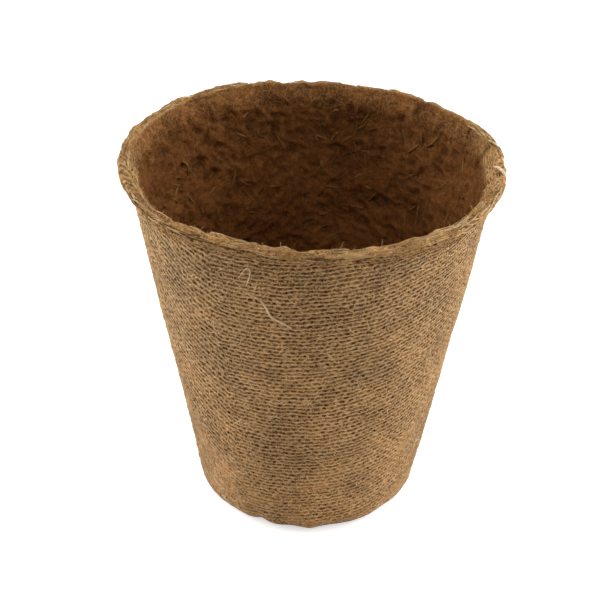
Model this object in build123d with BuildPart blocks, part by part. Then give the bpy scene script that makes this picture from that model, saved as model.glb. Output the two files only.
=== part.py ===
from build123d import *
import os
from math import atan2, cos, radians, sin, tan

# Round seedling pot of felted peat and wood fibre, in millimetres.
# The origin is the centre of the underside, +Z points out of the mouth and -Y is the front.

# Driving dimensions of the moulding
rim_diameter = 80.0  # outside of the flared lip, the pot's nominal size
base_diameter = 48.0  # where the outside of the wall would meet the ground
pot_height = 80.0
wall_thickness = 2.0
floor_thickness = 2.2
heel_radius = 4.0  # outside round between floor and wall
inside_heel_fill = 2.5  # how far the felt fills the inside corner, along floor and wall
toe_width = 0.1  # flat edge of the fill, level with the floor
lip_height = 4.7  # from the neck, where the wall starts to flare, to the top of the lip
lip_overhang = 2.35  # how far the lip stands out from the neck
lip_edge_height = 1.6  # upright outer edge of the lip
lip_top_width = 1.8  # level top of the lip
lip_wear = 0.5  # how far the lip's corners are worn off

# Driving dimensions of the inside of the wall, which dried uneven
swell_columns = 24  # corners round the pot
swell_rows = 8  # from the fill of the inside corner to the neck
swell_height = 0.8  # from the hollows to the crests
swell_reach = 0.2  # how far the crests stand in from the true inside
swell_column_steps_deg = (82, 137)  # how two waves go on from corner to corner
swell_row_steps_deg = (151, -67)  # and from row to row

# Driving dimensions of the loose fibres that lie on the outside of the wall
fibre_sides = 6  # a dry straw is creased, not round
fibre_clearance = 0.02  # between a fibre and the felt that carries it
long_fibre_diameter = 0.45
long_fibre_drop = 10.9  # of its middle, below the neck
long_fibre_bearing_deg = -12.4  # of its middle, from the front towards +X
long_fibre_droop_deg = 60.0  # how steeply its middle runs down
long_fibre_upper_radius = 7.3
long_fibre_upper_bend_deg = 45.0
long_fibre_lower_radius = 10.3
long_fibre_lower_bend_deg = 32.0
loop_fibre_diameter = 0.3
loop_fibre_drop = 2.7  # of the middle of its bow, below the neck
loop_fibre_bearing_deg = -19.4
loop_fibre_bow_radius = 1.1
loop_fibre_turn_deg = 160.0  # how far the bow turns
loop_fibre_lean_deg = 10.0  # how far its long leg leans in
loop_fibre_short_leg = 1.6
loop_fibre_long_leg = 3.2

# Sizes that follow from the moulding's
rim_radius = rim_diameter / 2
neck_radius = rim_radius - lip_overhang
base_radius = base_diameter / 2
neck_height = pot_height - lip_height
taper = atan2(neck_radius - base_radius, neck_height)
wall_width = wall_thickness / cos(taper)  # measured level
uphill = (sin(taper), cos(taper))  # along the wall, in the section

# The floor ends where both the heel's round and the fill of its inside corner have run out into it
heel_run = heel_radius / tan(radians(45) + taper / 2)
inner_corner_radius = base_radius + floor_thickness * tan(taper) - wall_width
floor_radius = min(base_radius - heel_run, inner_corner_radius - inside_heel_fill)
fill_top_height = floor_thickness + inside_heel_fill * cos(taper)
swell_row_height = (neck_height - fill_top_height) / swell_rows

# Corners of the section, as distance from the axis and height
ground_corner = (base_radius, 0)
outer_neck = (neck_radius, neck_height)
lip_under_edge = (rim_radius, pot_height - lip_edge_height)
lip_outer_top = (rim_radius, pot_height)
lip_inner_top = (rim_radius - lip_top_width, pot_height)
inner_neck = (neck_radius - wall_width, neck_height)
inner_corner = (inner_corner_radius, floor_thickness)


def corners_at(sketch, *points):
    """The sketch's vertices at some corners of the section."""
    return [sketch.vertices().sort_by_distance(point)[0] for point in points]


# Half section of the whole moulding, from the axis to the lip
with BuildSketch() as moulding:
    with BuildLine():
        Polyline((0, floor_thickness), (0, 0), ground_corner, outer_neck)
        TangentArc(outer_neck, lip_under_edge, tangent=uphill)
        Polyline(lip_under_edge, lip_outer_top, lip_inner_top)
        TangentArc(inner_neck, lip_inner_top, tangent=uphill)
        Polyline(inner_neck, inner_corner, (0, floor_thickness))
    make_face()
    fillet(corners_at(moulding, ground_corner), heel_radius)
    chamfer(corners_at(moulding, lip_under_edge, lip_outer_top, lip_inner_top), lip_wear)


def ring(radius, swells):
    """Corners of a level ring round a circle, each moved out by its own swell."""
    corners = []
    for column, swell in enumerate(swells):
        turn = radians(360 / swell_columns * column)
        reach = radius / cos(radians(180 / swell_columns)) + swell
        corners.append((reach * cos(turn), reach * sin(turn)))
    return corners


def swells_of(row):
    """How far the corners of a row of the inside lie out from the true inside."""
    if row in (0, swell_rows):
        return [0] * swell_columns
    swells = []
    for column in range(swell_columns):
        waves = [
            sin(radians(column * column_step + row * row_step))
            for column_step, row_step in zip(swell_column_steps_deg, swell_row_steps_deg)
        ]
        swells.append(swell_height * (2 + sum(waves)) / 4 - swell_reach)
    return swells


# Floor: the disc that the pot stands on
with BuildPart() as floor:
    with BuildSketch(Plane.XZ):
        add(moulding.sketch)
        Rectangle(floor_radius, floor_thickness, align=Align.MIN, mode=Mode.INTERSECT)
    revolve(axis=Axis.Z)

# Side wall: the tapered shell, from the edge of the floor round the heel and up to the neck
with BuildPart() as side_wall:
    with BuildSketch(Plane.XZ):
        add(moulding.sketch)
        Polygon(inner_corner, inner_neck, (0, neck_height), (0, floor_thickness), align=None)
        Rectangle(rim_radius, neck_height, align=Align.MIN, mode=Mode.INTERSECT)
    revolve(axis=Axis.Z)
    with BuildSketch(Plane.XY.offset(floor_thickness)):
        Polygon(*ring(floor_radius + toe_width, swells_of(0)), align=None)
    for row in range(swell_rows + 1):
        height = fill_top_height + row * swell_row_height
        with BuildSketch(Plane.XY.offset(height)):
            Polygon(*ring(base_radius + height * tan(taper) - wall_width, swells_of(row)), align=None)
    loft(ruled=True, mode=Mode.SUBTRACT)
    Cylinder(floor_radius, 2 * fill_top_height, mode=Mode.SUBTRACT)

# Rim lip: the flared edge above the neck
with BuildPart() as rim_lip:
    with BuildSketch(Plane.XZ):
        add(moulding.sketch)
        with Locations((0, neck_height)):
            Rectangle(rim_radius, lip_height, align=Align.MIN, mode=Mode.INTERSECT)
    revolve(axis=Axis.Z)


def wall_plane(bearing, drop, diameter):
    """The plane of the middle line of a fibre that lies on the outside of the wall.

    The bearing is in degrees from the front towards +X, and the drop is below the neck.
    The plane's X is level and its Y runs up the slope.
    """
    height = neck_height - drop
    stand_off = diameter / 2 + fibre_clearance
    turn = radians(bearing - 90)
    level = Vector(-sin(turn), cos(turn), 0)
    outward = Vector(cos(taper) * cos(turn), cos(taper) * sin(turn), -sin(taper))
    reach = base_radius + height * tan(taper)
    foot = Vector(reach * cos(turn), reach * sin(turn), height)
    return Plane(origin=foot + outward * stand_off, x_dir=level, z_dir=outward)


def heading(angle):
    """Direction in a wall plane, in degrees up from level."""
    return (cos(radians(angle)), sin(radians(angle)))


# Long fibre: a straw that runs down to the right in a slack S
with BuildPart() as long_fibre:
    with BuildLine(wall_plane(long_fibre_bearing_deg, long_fibre_drop, long_fibre_diameter)) as long_line:
        upward = heading(180 - long_fibre_droop_deg)
        downward = heading(-long_fibre_droop_deg)
        JernArc((0, 0), upward, long_fibre_upper_radius, long_fibre_upper_bend_deg)
        JernArc((0, 0), downward, long_fibre_lower_radius, long_fibre_lower_bend_deg)
    long_path = long_line.wire()
    with BuildSketch(Plane(origin=long_path @ 0, z_dir=long_path % 0)):
        RegularPolygon(long_fibre_diameter / 2, fibre_sides)
    sweep(path=long_path)

# Loop fibre: a finer straw bent back on itself above the long one
with BuildPart() as loop_fibre:
    with BuildLine(wall_plane(loop_fibre_bearing_deg, loop_fibre_drop, loop_fibre_diameter)) as loop_line:
        bow = CenterArc((0, 0), loop_fibre_bow_radius, -loop_fibre_lean_deg, loop_fibre_turn_deg)
        Line(bow @ 0, bow @ 0 - (bow % 0) * loop_fibre_long_leg)
        Line(bow @ 1, bow @ 1 + (bow % 1) * loop_fibre_short_leg)
    loop_path = loop_line.wire()
    with BuildSketch(Plane(origin=loop_path @ 0, z_dir=loop_path % 0)):
        RegularPolygon(loop_fibre_diameter / 2, fibre_sides)
    sweep(path=loop_path)

os.makedirs("parts", exist_ok=True)
floor.part.label = "floor"
side_wall.part.label = "side_wall"
rim_lip.part.label = "rim_lip"
long_fibre.part.label = "long_fibre"
loop_fibre.part.label = "loop_fibre"
export_step(floor.part, "parts/floor.step")
export_step(side_wall.part, "parts/side_wall.step")
export_step(rim_lip.part, "parts/rim_lip.step")
export_step(long_fibre.part, "parts/long_fibre.step")
export_step(loop_fibre.part, "parts/loop_fibre.step")
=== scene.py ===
import itertools
import logging
import math
import random
from dataclasses import dataclass, field, fields, replace
from enum import Enum
from functools import cached_property

import bmesh
import bpy
import numpy as np
from mathutils import Matrix, Vector
from mathutils.kdtree import KDTree


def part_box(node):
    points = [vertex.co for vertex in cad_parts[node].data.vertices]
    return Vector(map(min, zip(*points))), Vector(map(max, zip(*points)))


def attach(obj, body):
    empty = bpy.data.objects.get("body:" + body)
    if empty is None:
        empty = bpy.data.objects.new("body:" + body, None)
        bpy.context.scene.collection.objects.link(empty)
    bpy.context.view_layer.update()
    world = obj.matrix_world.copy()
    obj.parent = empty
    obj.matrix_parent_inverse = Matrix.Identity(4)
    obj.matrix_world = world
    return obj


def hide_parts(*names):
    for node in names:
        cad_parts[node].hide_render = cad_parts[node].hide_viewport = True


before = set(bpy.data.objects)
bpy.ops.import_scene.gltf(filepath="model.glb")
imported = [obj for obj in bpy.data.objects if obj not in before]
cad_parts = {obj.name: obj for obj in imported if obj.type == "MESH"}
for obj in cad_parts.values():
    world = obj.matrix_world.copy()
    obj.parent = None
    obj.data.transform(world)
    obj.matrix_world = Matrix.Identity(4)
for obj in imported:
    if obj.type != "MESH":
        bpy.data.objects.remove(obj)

# Round seedling pot of felted peat and wood fibre. Sizes are in millimetres and degrees unless a name
# says otherwise, and meshes are scaled to metres when they are done. A bearing is measured round the pot
# from its front, which faces -Y, towards +X.
LOG = logging.getLogger("peat_pot")
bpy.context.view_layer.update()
BODY = "root"
MM = 0.001
MERGE_GAP = 1e-4  # within which vertices become one
FLUSH = 1e-3  # within which a face counts as lying against a plane
SKIN_GAP = 0.05  # how far under the surface a face counts as inside the felt
EDGE_GAP = 0.02  # within which a face counts as lying at the floor's edge
TINY = 1e-9  # keeps a division from failing
MIDDLE = 0.5  # of a range from 0 to 1, or of a cell of noise
HALF_PANEL = 90.0  # of the wire cloth, round the pot
Array = np.ndarray
Pair = tuple[float, float]
Colour = tuple[float, float, float]
Socket = bpy.types.NodeSocket
VALUE_SOCKET = "NodeSocketFloat"


def smooth_step(low: float, high: float, value: Array) -> Array:
    """Rises from 0 at low to 1 at high without a corner.

    Args:
        low: Value at which the step starts.
        high: Value at which it ends.
        value: Values to look up.

    Returns:
        Numbers from 0 to 1.
    """
    share = np.clip((value - low) / (high - low), 0, 1)
    return share * share * (3 - 2 * share)


def bell(distance: Array, spread: float) -> Array:
    """Height of a bell of height 1 at some distances from its middle."""
    return np.exp(-(distance / spread) ** 2)


def bearing_of(points: Array) -> Array:
    """Bearings of some points."""
    return np.degrees(np.arctan2(points[:, 0], -points[:, 1]))


def radius_of(points: Array) -> Array:
    """Distances of some points from the axis."""
    return np.hypot(points[:, 0], points[:, 1])


def bearing_gap(first: Array, second: float) -> Array:
    """Degrees from the second bearing to the first ones, from -180 to 180."""
    return (first - second + 180) % 360 - 180


def place(bearing: Array, radius: Array, height: Array) -> Array:
    """Points at some bearings, distances from the axis and heights.

    Args:
        bearing: Bearings, or one for all.
        radius: Distances from the axis, or one for all.
        height: Heights over the ground, or one for all.

    Returns:
        One row of x, y and z for each point.
    """
    turn = np.radians(bearing)
    return np.stack(np.broadcast_arrays(radius * np.sin(turn), -radius * np.cos(turn), height), axis=-1)


SLOPES = np.array([way for way in itertools.product((-1, 0, 1), repeat=3) if sum(map(abs, way)) == 2], float)
CELL_FACTORS = np.array((73856093, 19349663, 83492791))
SEED_FACTOR = 15485863
MIX_STEPS = ((13, 1540483477), (15, 668265263))
LAST_SHIFT = 14
LARGEST_NUMBER = 0xFFFFFFFF


def cell_number(cells: Array, seed: int) -> Array:
    """Gives each whole-numbered cell a fixed number that looks random.

    Args:
        cells: One row of three whole numbers for each cell.
        seed: Picks one of many such numberings.

    Returns:
        Whole numbers of up to 32 bits.
    """
    mixed = np.bitwise_xor.reduce(cells * CELL_FACTORS, axis=1) ^ (seed + 1) * SEED_FACTOR
    for shift, factor in MIX_STEPS:
        mixed = (mixed ^ mixed >> shift) * factor & LARGEST_NUMBER
    return mixed ^ mixed >> LAST_SHIFT


def cell_share(columns: Array, rows: Array, seed: int) -> Array:
    """Random number from 0 to 1 for each cell of a flat grid."""
    cells = np.stack([columns, rows, np.zeros_like(rows)], axis=1).astype(np.int64)
    return cell_number(cells, seed) / LARGEST_NUMBER


def unevenness(points: Array, seed: int = 0) -> Array:
    """Smooth noise whose bumps are about one unit across.

    Args:
        points: One row of x, y and z for each place.
        seed: Picks one of many such noises.

    Returns:
        Heights from about -1 to 1.
    """
    base = np.floor(points).astype(np.int64)
    part = points - base
    ease = part ** 3 * (part * (part * 6 - 15) + 10)
    total = np.zeros(len(points))
    for corner in itertools.product((0, 1), repeat=3):
        step = np.array(corner)
        slope = SLOPES[cell_number(base + step, seed) % len(SLOPES)]
        weight = np.where(step, ease, 1 - ease).prod(axis=1)
        total += weight * ((part - step) * slope).sum(axis=1)
    return total


@dataclass(frozen=True)
class PotSizes:
    """Main sizes of the moulding, most of them read from the frame."""

    rim_radius: float
    pot_height: float
    neck_radius: float
    neck_height: float
    floor_radius: float
    floor_thickness: float
    base_radius: float = 24.0
    wall_thickness: float = 2.0
    heel_radius: float = 4.0
    lip_edge_height: float = 1.6
    lip_top_width: float = 1.8
    corner_fill: float = 2.5

    @classmethod
    def from_frame(cls) -> "PotSizes":
        """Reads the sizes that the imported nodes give.

        Returns:
            The sizes of this pot.
        """
        lip_low, lip_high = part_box("rim_lip")
        wall_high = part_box("side_wall")[1]
        floor_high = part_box("floor")[1]
        return cls(
            rim_radius=lip_high.x / MM,
            pot_height=lip_high.z / MM,
            neck_radius=wall_high.x / MM,
            neck_height=lip_low.z / MM,
            floor_radius=floor_high.x / MM,
            floor_thickness=floor_high.z / MM,
        )

    @cached_property
    def taper(self) -> float:
        """Lean of the wall, in radians."""
        return math.atan2(self.neck_radius - self.base_radius, self.neck_height)

    @property
    def uphill(self) -> Vector:
        """Direction up the wall in the section, as distance from the axis and height."""
        return Vector((math.sin(self.taper), math.cos(self.taper)))

    @property
    def wall_width(self) -> float:
        """Thickness of the wall, measured level."""
        return self.wall_thickness / math.cos(self.taper)

    @property
    def heel_start(self) -> float:
        """Distance from the axis at which the heel's round leaves the ground."""
        return self.base_radius - self.heel_radius / math.tan(math.radians(45) + self.taper / 2)

    def outer_radius(self, height: Array) -> Array:
        """Distance of the outside of the wall from the axis."""
        return self.base_radius + height * math.tan(self.taper)

    def inner_radius(self, height: Array) -> Array:
        """Distance of the inside of the wall from the axis."""
        return self.outer_radius(height) - self.wall_width

    def slope_length(self, points: Array) -> Array:
        """Distance of points of the outside from the tip of the wall's cone.

        Args:
            points: Places on the outside of the wall, heel or lip.

        Returns:
            The way down the wall, and from the wall in under the heel or out over the lip.
        """
        wall_radius = self.outer_radius(points[:, 2])
        return wall_radius / math.sin(self.taper) + radius_of(points) - wall_radius


POT = PotSizes.from_frame()


@dataclass(frozen=True)
class RimWave:
    """A stretch of the rim that dried higher or further out than the rest."""

    bearing: float
    spread: float
    rise: float
    reach: float = 0.0


@dataclass(frozen=True)
class DryingWarp:
    """How the moulding went out of true as it dried."""

    waves: tuple[RimWave, ...] = (
        RimWave(bearing=-50, spread=18, rise=-1.2),
        RimWave(bearing=-7, spread=8, rise=-0.5),
        RimWave(bearing=20, spread=12, rise=-0.5),
        RimWave(bearing=45, spread=10, rise=-0.5),
        RimWave(bearing=90, spread=14, rise=0.0, reach=-0.35),
        RimWave(bearing=132, spread=20, rise=-1.0),
        RimWave(bearing=172, spread=20, rise=-1.2),
        RimWave(bearing=-168, spread=14, rise=-0.7),
        RimWave(bearing=-112, spread=14, rise=-0.3),
    )
    rim_ripple: float = 0.3
    ripple_width: float = 5.0
    sag_start: float = 52.0
    oval: float = 0.25
    oval_bearing: float = 25.0
    foot_dent: float = 0.6
    foot_bearing: float = -95.0
    foot_spread: float = 34.0
    foot_height: float = 14.0
    foot_rise: float = 18.0
    foot_start: float = 12.0

    def shift(self, points: Array) -> Array:
        """Works out how far points of the felt moved.

        Args:
            points: Places in the moulding as it left the former.

        Returns:
            One shift for each point.
        """
        bearing, height = bearing_of(points), points[:, 2]
        share = smooth_step(self.sag_start, POT.pot_height, height)
        on_rim = place(bearing, POT.rim_radius / self.ripple_width, MIDDLE)
        rise = self.rim_ripple * unevenness(on_rim, seed=31)
        reach = self.rim_ripple * unevenness(on_rim, seed=32)
        for wave in self.waves:
            nearness = bell(bearing_gap(bearing, wave.bearing), wave.spread)
            rise += wave.rise * nearness
            reach += wave.reach * nearness
        oval = self.oval * np.cos(2 * np.radians(bearing - self.oval_bearing))
        foot = self.foot_dent * bell(bearing_gap(bearing, self.foot_bearing), self.foot_spread)
        foot = foot * bell(height - self.foot_height, self.foot_rise)
        foot = foot * smooth_step(0, self.foot_start, radius_of(points))
        reach = reach * share + oval * height / POT.pot_height - foot
        return place(bearing, reach, rise * share)


WARP = DryingWarp()


@dataclass(frozen=True)
class PanelLay:
    """How one piece of wire cloth lies on the former."""

    name: str
    first_bearing: float
    row_fall: float
    row_pitch: float

    @property
    def middle(self) -> float:
        """Bearing of the panel's middle."""
        return self.first_bearing + HALF_PANEL


class ClothPanel(Enum):
    """The two pieces of wire cloth round the former, which meet at a seam on each side."""

    RIGHT = PanelLay(name="wall_outside_right", first_bearing=-31, row_fall=0, row_pitch=1.0)
    LEFT = PanelLay(name="wall_outside_left", first_bearing=-211, row_fall=26, row_pitch=1.25)


@dataclass(frozen=True)
class ScreenCloth:
    """Wire cloth that the felt is sucked onto, which leaves rows of dashes."""

    dash_pitch: float = 1.6
    dash_length: float = 0.35
    dash_height: float = 0.25
    least_depth: float = 0.7
    row_wander: float = 0.42
    dash_wander: float = 0.35
    wander_along: float = 0.55
    wander_across: float = 0.35
    dash_wander_rate: float = 2.0

    def cells(self, points: Array, panel: ClothPanel | None) -> tuple[Array, Array]:
        """Finds points of the outside in the flat cloth.

        Args:
            points: Places on the outside.
            panel: Panel that they all lie on, or none to go by their bearings.

        Returns:
            Their places along the row, in dashes, and across the rows, in rows.
        """
        bearing, slope = bearing_of(points), POT.slope_length(points)
        right, left = ClothPanel.RIGHT.value, ClothPanel.LEFT.value
        from_middle = bearing_gap(bearing, right.middle)
        on_right = np.abs(from_middle) < HALF_PANEL if panel is None else panel is ClothPanel.RIGHT
        from_left_end = bearing_gap(bearing, left.middle) - HALF_PANEL
        from_seam = np.where(on_right, from_middle + HALF_PANEL, from_left_end)
        turn = np.radians(from_seam) * math.sin(POT.taper)
        fall = np.radians(np.where(on_right, right.row_fall, left.row_fall))
        pitch = np.where(on_right, right.row_pitch, left.row_pitch)
        across, up = slope * np.sin(turn), slope * np.cos(turn)
        along = (across * np.cos(fall) - up * np.sin(fall)) / self.dash_pitch
        rows = (across * np.sin(fall) + up * np.cos(fall)) / pitch
        level = np.full_like(rows, MIDDLE)
        flat = np.stack([along * self.wander_along, rows * self.wander_across, level], axis=1)
        along = along + self.dash_wander * unevenness(flat * self.dash_wander_rate, seed=42)
        return along, rows + self.row_wander * unevenness(flat, seed=41)

    def press(self, along: Array, rows: Array) -> tuple[Array, Array, Array]:
        """Shape that the cloth leaves at some places in it.

        Args:
            along: Places along the row, in dashes.
            rows: Places across the rows, in rows.

        Returns:
            How deep the nearest dash is, how deep in it the places lie, and how high on a rib between
            rows, all from 0 to 1.
        """
        row = np.floor(rows)
        along = along + MIDDLE * (row % 2)
        column = np.floor(along)
        depth = self.least_depth + (1 - self.least_depth) * cell_share(column, row, seed=44)
        side = (along - column - MIDDLE) / self.dash_length
        level = (rows - row - MIDDLE) / self.dash_height
        rib = MIDDLE + MIDDLE * np.cos(2 * np.pi * (rows - row))
        return depth, depth * np.exp(-side ** 4 - level ** 2), rib


CLOTH = ScreenCloth()


@dataclass(frozen=True)
class Lumps:
    """One scale of unevenness in the felt."""

    size: float
    height: float
    seed: int

    def at(self, points: Array) -> Array:
        """Heights of the unevenness at some points."""
        return self.height * unevenness(points / self.size, self.seed)


@dataclass(frozen=True)
class Crease:
    """A short fold or scratch in the outside, between two places given as bearing and height."""

    first: Pair
    last: Pair
    width: float
    depth: float
    wander: float = 0.45
    wander_size: float = 3.0

    def at(self, points: Array) -> Array:
        """Depths of the crease at some points of the wall.

        Args:
            points: Places on the outside.

        Returns:
            Depths in millimetres.
        """
        round_wall = math.radians(1) * POT.outer_radius(self.first[1])
        side = bearing_gap(bearing_of(points), self.first[0]) * round_wall
        level = points[:, 2] - self.first[1]
        level = level + self.wander * unevenness(points / self.wander_size, seed=51)
        run = Vector(((self.last[0] - self.first[0]) * round_wall, self.last[1] - self.first[1]))
        share = np.clip((side * run.x + level * run.y) / run.length_squared, 0, 1)
        away = np.hypot(side - run.x * share, level - run.y * share)
        return self.depth * bell(away, self.width)


@dataclass(frozen=True)
class Patch:
    """A stretch of the outside that lost some of the cloth's mark, or is painted darker or paler."""

    bearing: float
    height: float
    spread: float
    rise: float
    share: float

    def at(self, points: Array) -> Array:
        """Share of the mark that is lost, or of the darkening or paling, at some points of the wall."""
        side = bearing_gap(bearing_of(points), self.bearing) / self.spread
        return self.share * bell(np.hypot(side, (points[:, 2] - self.height) / self.rise), 1)


@dataclass(frozen=True)
class Dent:
    """A knock in the foot of the wall or across the lip, or a bulge where its depth is below 0."""

    bearing: float
    spread: float
    depth: float

    def at(self, points: Array) -> Array:
        """Depths at the bearings of some points."""
        return self.depth * bell(bearing_gap(bearing_of(points), self.bearing), self.spread)


def total(marks: tuple[Lumps | Crease | Patch | Dent, ...], points: Array) -> Array:
    """Sum of what some marks in the felt come to at some points."""
    return sum(mark.at(points) for mark in marks)


def crest_share(height: Array, reach: float) -> Array:
    """How far up a crest some heights lie, from 0 to 1, where crests are as high as the reach."""
    return np.clip(MIDDLE + height / reach, 0, 1)


@dataclass(frozen=True)
class FeltNotes:
    """What the surface of the felt is like at some places."""

    height: Array
    along: Array
    row: Array
    mark: Array
    # How dark the finish paints each point: painted shade in creases, grooves and folds, and a darker tone
    # on plain and darker patches.
    crease: Array
    torn: Array
    # How far up a crest each point lies, which the finish paints as highlight on crests and shade in
    # hollows.
    crest: Array
    inside: Array
    pale: Array


@dataclass(frozen=True)
class OutsideSkin:
    """The outside of the wall, which lay on the wire cloth."""

    lumps: tuple[Lumps, ...] = (
        Lumps(size=17, height=0.3, seed=1),
        Lumps(size=6, height=0.12, seed=2),
        Lumps(size=2.3, height=0.06, seed=3),
        Lumps(size=0.8, height=0.045, seed=4),
    )
    dash_depth: float = 0.19
    rib_height: float = 0.07
    full_strength: float = 1.3
    low_strength: float = 0.72
    least_strength: float = 0.06
    patch_size: float = 9.0
    spot_size: float = 2.2
    patch_contrast: float = 0.5
    heel_fade: Pair = (0.5, 6.0)
    low_fade: Pair = (6.0, 38.0)
    crease_shade: float = 4.0
    plain_tone: float = 0.3
    crest_reach: float = 0.4
    foot_fade: Pair = (1.0, 7.0)
    foot_inset: float = 2.0
    foot_dents: tuple[Dent, ...] = (
        Dent(bearing=-24, spread=4, depth=0.6),
        Dent(bearing=-7, spread=5, depth=0.25),
        Dent(bearing=3, spread=3, depth=-0.25),
        Dent(bearing=15, spread=6, depth=0.25),
        Dent(bearing=47, spread=7, depth=0.3),
        Dent(bearing=128, spread=8, depth=0.5),
        Dent(bearing=-110, spread=6, depth=0.45),
    )
    creases: tuple[Crease, ...] = (
        Crease(first=(-6.5, 55.7), last=(-3.0, 54.6), width=0.35, depth=0.16),
        Crease(first=(-3.0, 54.6), last=(2.4, 53.6), width=0.3, depth=0.18),
        Crease(first=(45.7, 8.2), last=(54.3, 9.7), width=0.45, depth=0.2),
        Crease(first=(-32.0, 72.5), last=(-30.5, 26.0), width=0.35, depth=0.05),
        Crease(first=(-64.0, 38.6), last=(-56.0, 40.2), width=1.3, depth=0.13),
    )
    # Darker patches of the outside.
    darker_patches: tuple[Patch, ...] = (
        Patch(bearing=-6, height=72.5, spread=26, rise=4, share=0.3),
        Patch(bearing=-10, height=48, spread=11, rise=5, share=0.22),
        # Painted shade just under the lip's edge at the front.
        Patch(bearing=3, height=77.4, spread=6, rise=1.2, share=0.3),
        Patch(bearing=42, height=46, spread=14, rise=12, share=0.13),
    )
    patches: tuple[Patch, ...] = (
        Patch(bearing=-66, height=8, spread=32, rise=18, share=1.5),
        Patch(bearing=-80, height=20, spread=12, rise=16, share=0.6),
        Patch(bearing=70, height=14, spread=20, rise=22, share=0.75),
        Patch(bearing=-10, height=3, spread=30, rise=6, share=0.3),
        Patch(bearing=150, height=40, spread=24, rise=20, share=0.6),
        Patch(bearing=-140, height=30, spread=20, rise=22, share=0.7),
    )

    def mark_strength(self, points: Array) -> Array:
        """Works out how plainly the cloth's mark shows.

        Args:
            points: Places on the outside.

        Returns:
            Strengths from 0 to 1.
        """
        strength = self.full_strength + self.patch_contrast * unevenness(points / self.patch_size, seed=5)
        strength = strength + self.patch_contrast * unevenness(points / self.spot_size, seed=6)
        strength = strength - total(self.patches, points)
        high = smooth_step(*self.low_fade, points[:, 2])
        strength = strength * (self.low_strength + (1 - self.low_strength) * high)
        return np.clip(strength * smooth_step(*self.heel_fade, points[:, 2]), self.least_strength, 1)

    def at(self, points: Array, panel: ClothPanel | None = None) -> FeltNotes:
        """Looks up the outside.

        Args:
            points: Places on the true outside of the moulding.
            panel: Panel of the cloth that they all lie on, or none to go by their bearings.

        Returns:
            The unevenness, with the cloth's mark and the creases.
        """
        along, row = CLOTH.cells(points, panel)
        depth, dash, rib = CLOTH.press(along, row)
        strength = self.mark_strength(points)
        plain = np.clip(total(self.patches, points), 0, 1)
        crease = total(self.creases, points)
        # Painted shade in the creases, with a darker tone on plain patches and on the darker patches.
        tone = crease * self.crease_shade + self.plain_tone * plain + total(self.darker_patches, points)
        low = 1 - smooth_step(*self.foot_fade, points[:, 2])
        low = low * smooth_step(POT.floor_radius, POT.floor_radius + self.foot_inset, radius_of(points))
        small = total(self.lumps, points) - low * total(self.foot_dents, points)
        none = np.zeros_like(small)
        return FeltNotes(
            height=small + strength * (self.rib_height * rib - self.dash_depth * dash) - crease,
            along=along, row=row, mark=strength * depth, crease=np.clip(tone, 0, 1), torn=none,
            crest=crest_share(total(self.lumps[-2:], points), self.crest_reach), inside=none, pale=none)


@dataclass(frozen=True)
class InsideSwells:
    """The large swells of the inside of the wall, which the solid wall has too."""

    columns: int = 24
    rows: int = 8
    height: float = 0.8
    reach: float = 0.2
    column_steps: Pair = (82, 137)
    row_steps: Pair = (151, -67)

    def corner(self, column: Array, row: Array) -> Array:
        """Looks up some corners of the swells.

        Args:
            column: Their numbers round the pot, from the one at +X.
            row: Their numbers up the wall.

        Returns:
            How far they lie out from the true inside, which is 0 in the first and last row.
        """
        first, second = (np.sin(np.radians(column % self.columns * around + row * up))
                         for around, up in zip(self.column_steps, self.row_steps))
        ends = (row < 0.5) | (row > self.rows - 0.5)
        return np.where(ends, 0, self.height * (2 + first + second) / 4 - self.reach)

    def at(self, points: Array) -> Array:
        """Heights of the swells at some points, towards the axis.

        Args:
            points: Places on the true inside of the wall, floor or lip.

        Returns:
            Heights in millimetres, which end at the floor and the neck.
        """
        low = POT.floor_thickness + POT.corner_fill * math.cos(POT.taper)
        column = (bearing_of(points) - 90) % 360 / 360 * self.columns
        row = np.clip((points[:, 2] - low) / (POT.neck_height - low), 0, 1) * self.rows
        left, below = np.floor(column), np.minimum(np.floor(row), self.rows - 1)
        across, up = smooth_step(0, 1, column - left), smooth_step(0, 1, row - below)
        lower = self.corner(left, below) * (1 - across) + self.corner(left + 1, below) * across
        upper = self.corner(left, below + 1) * (1 - across) + self.corner(left + 1, below + 1) * across
        return -math.cos(POT.taper) * (lower * (1 - up) + upper * up)


@dataclass(frozen=True)
class InsideSkin:
    """The inside of the wall and floor, which dried open and rough."""

    swells: InsideSwells = InsideSwells()
    ridge_size: float = 4.2
    ridge_bend: float = 0.7
    bend_share: float = 0.6
    ridge_height: float = 0.5
    ridge_sharpness: float = 2.4
    ridge_level: float = 0.4
    crest_reach: float = 1.3
    soft_lumps: Lumps = Lumps(size=7, height=0.3, seed=19)
    lumps: tuple[Lumps, ...] = (
        Lumps(size=2.6, height=0.4, seed=12),
        Lumps(size=1.3, height=0.3, seed=13),
    )

    def at(self, points: Array) -> FeltNotes:
        """Looks up the inside.

        Args:
            points: Places on the true inside of the moulding.

        Returns:
            The unevenness, and how far up a crest the points lie.
        """
        bend = [unevenness(points / (self.bend_share * self.ridge_size), seed) for seed in (15, 16, 17)]
        bent = points / self.ridge_size + self.ridge_bend * np.stack(bend, axis=1)
        ridge = 1 - self.ridge_sharpness * np.abs(unevenness(bent, seed=18))
        rough = self.ridge_height * (ridge - self.ridge_level) + total(self.lumps, points)
        height = rough + self.soft_lumps.at(points) + self.swells.at(points)
        none = np.zeros_like(height)
        return FeltNotes(height=height, along=none, row=none, mark=none, crease=none, torn=none,
                         crest=crest_share(rough, self.crest_reach), inside=np.ones_like(height), pale=none)


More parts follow.
